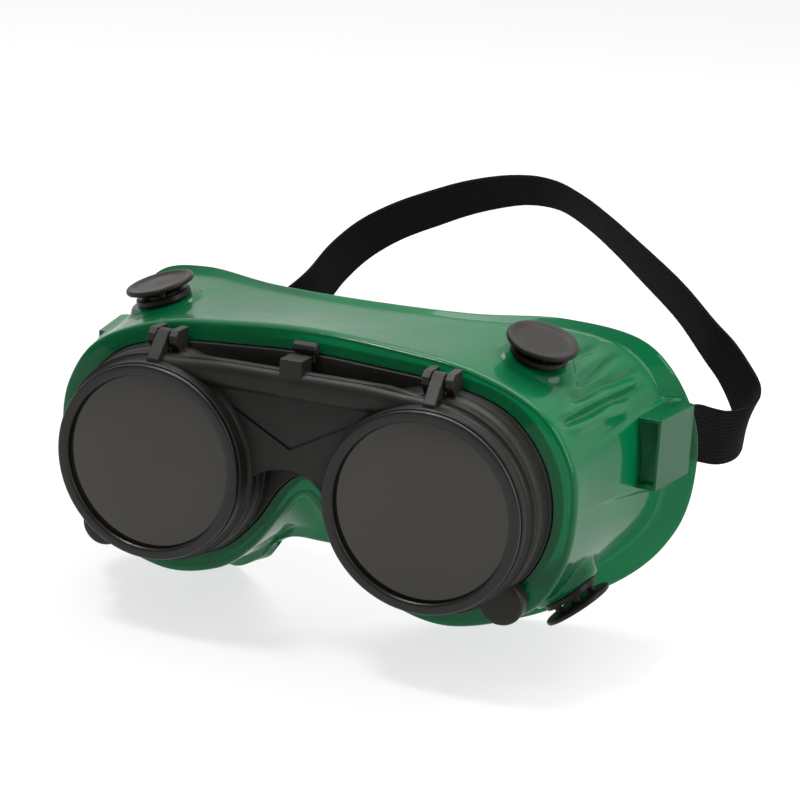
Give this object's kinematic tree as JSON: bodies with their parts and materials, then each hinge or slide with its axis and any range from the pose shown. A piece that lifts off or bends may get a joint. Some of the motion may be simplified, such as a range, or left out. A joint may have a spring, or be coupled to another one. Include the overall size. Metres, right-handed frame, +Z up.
{
  "type": "welding goggles",
  "caption": "Welding goggles with a green vinyl eye cup, a black flip-up dark lens front on top hinges, mushroom vents and an elastic strap with a slider.",
  "frame": {"origin": "centre of the face opening, on the line through the lens centres, where the brow seals against the flange at the middle", "axes": "+X to the right as seen from in front of the goggles, -Y out of the lenses, +Y towards the wearer, +Z up"},
  "size_m": [0.1947, 0.1681, 0.1118],
  "materials": {
    "green_vinyl": "glossy translucent soft vinyl",
    "black_plastic": "satin moulded plastic",
    "vent_plastic": "satin moulded plastic",
    "dark_glass": "polished dark filter glass",
    "clear_glass": "polished clear glass",
    "steel": "drawn wire",
    "elastic_webbing": "woven elastic"
  },
  "bodies": {
    "goggles": {"goggle_body": "green_vinyl", "lens_carrier": "black_plastic", "clear_lens_left": "clear_glass", "clear_lens_right": "clear_glass", "clear_lens_ring_left": "black_plastic", "clear_lens_ring_right": "black_plastic", "hinge_pin_left": "steel", "hinge_pin_right": "steel", "vent_base_top_left": "vent_plastic", "vent_cap_top_left": "vent_plastic", "vent_nut_top_left": "vent_plastic", "vent_base_top_right": "vent_plastic", "vent_cap_top_right": "vent_plastic", "vent_nut_top_right": "vent_plastic", "vent_base_bottom_left": "vent_plastic", "vent_cap_bottom_left": "vent_plastic", "vent_nut_bottom_left": "vent_plastic", "vent_base_bottom_right": "vent_plastic", "vent_cap_bottom_right": "vent_plastic", "vent_nut_bottom_right": "vent_plastic", "elastic_strap": "elastic_webbing", "strap_end_pin_left": "steel", "strap_end_pin_right": "steel"},
    "flip_front": {"flip_front_frame": "black_plastic", "dark_lens_left": "dark_glass", "dark_lens_right": "dark_glass", "dark_lens_ring_left": "black_plastic", "dark_lens_ring_right": "black_plastic"},
    "slider": {"strap_slider": "black_plastic"}
  },
  "joints": [
    {"name": "front_flip", "type": "hinge", "parent": "goggles", "child": "flip_front", "pos_m": [0, -0.0464, 0.03295], "axis": [-1, 0, 0], "range_deg": [0, 95]},
    {"name": "slider_slide", "type": "slide", "parent": "goggles", "child": "slider", "axis": [-0.838, -0.5028, -0.2121], "range_m": [-0.008, 0.008]}
  ]
}
